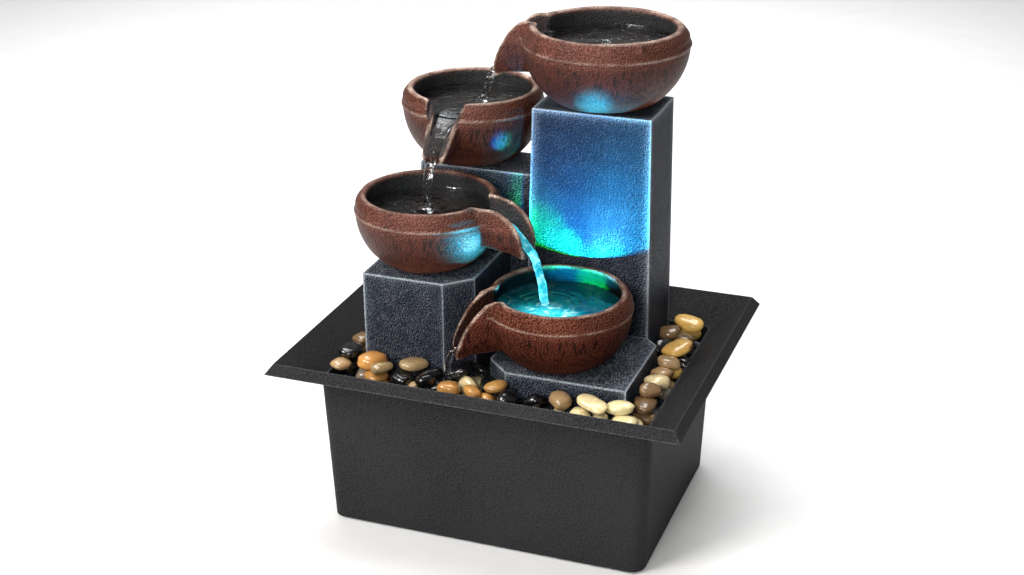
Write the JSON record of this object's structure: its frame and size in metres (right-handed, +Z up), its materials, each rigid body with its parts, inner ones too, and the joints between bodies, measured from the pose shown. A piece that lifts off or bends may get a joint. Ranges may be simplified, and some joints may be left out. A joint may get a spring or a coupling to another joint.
{
  "type": "tabletop water fountain",
  "caption": "Tabletop fountain: bowls on stepped pillars spill water from one to the next into a planter-style basin with a pump, pebbles and a lamp.",
  "frame": {"origin": "centre of the basin on the surface that its feet rest on", "axes": "+Z up, +X right seen from the front, +Y to the back"},
  "size_m": [0.2122, 0.1666, 0.248],
  "materials": {
    "basin_plastic": "fine leather grain, charcoal",
    "foot_rubber": "matt",
    "grommet_rubber": "matt",
    "slate_cast": "cast resin stone, dry-brushed",
    "pottery": "painted pottery look, dry-brushed edges",
    "pebble_cream": "polished",
    "pebble_brown": "polished",
    "pebble_black": "polished",
    "clear_vinyl": "clear vinyl",
    "black_plastic": "moulded",
    "circuit_board": "white solder mask",
    "led": "emissive when lit",
    "lamp_lens": "clear",
    "lead_sheath": "matt sheath",
    "core_steel": "laminated",
    "copper_wire": "enamelled copper",
    "shaft_ceramic": "white ceramic",
    "white_plastic": "moulded",
    "ferrite": "sintered ferrite",
    "foam": "open-cell foam"
  },
  "bodies": {
    "basin": {"basin": "basin_plastic", "basin_feet": "foot_rubber", "cord_grommet": "grommet_rubber", "lamp_socket": "black_plastic", "branch_lead": "lead_sheath", "pump_body": "black_plastic", "pump_end_plate": "black_plastic", "pump_stator": "core_steel", "pump_coil": "copper_wire", "pump_shaft": "shaft_ceramic", "volute_cover": "black_plastic", "pump_suckers": "foot_rubber", "pump_lead": "lead_sheath"},
    "tower": {"tower_base": "slate_cast", "pillar_tall": "slate_cast", "pillar_middle": "slate_cast", "pillar_front": "slate_cast", "plinth": "slate_cast", "bowl_top": "pottery", "bowl_middle": "pottery", "bowl_left": "pottery", "bowl_right": "pottery", "pebbles_cream": "pebble_cream", "pebbles_brown": "pebble_brown", "pebbles_black": "pebble_black", "riser_tube": "clear_vinyl", "outlet_fitting": "black_plastic", "lamp_housing": "black_plastic", "lamp_board": "circuit_board", "lamp_leds": "led", "lamp_seal": "foot_rubber", "lamp_lens": "lamp_lens", "lamp_lead": "lead_sheath", "lamp_plug": "foot_rubber"},
    "rotor": {"impeller": "white_plastic", "rotor_magnet": "ferrite"},
    "intake": {"intake_cover": "black_plastic", "intake_foam": "foam"},
    "regulator": {"flow_regulator": "black_plastic"}
  },
  "joints": [
    {"name": "tower_lift", "type": "slide", "parent": "basin", "child": "tower", "axis": [0, 0, 1], "range_m": [0, 0.12]},
    {"name": "impeller_spin", "type": "hinge", "parent": "basin", "child": "rotor", "pos_m": [0.0303, 0.0393, 0.026], "axis": [1, 0, 0], "continuous": true},
    {"name": "intake_pull", "type": "slide", "parent": "basin", "child": "intake", "axis": [1, 0, 0], "range_m": [0, 0.012]},
    {"name": "regulator_slide", "type": "slide", "parent": "intake", "child": "regulator", "axis": [0, 0, 1], "range_m": [0, 0.008]}
  ]
}
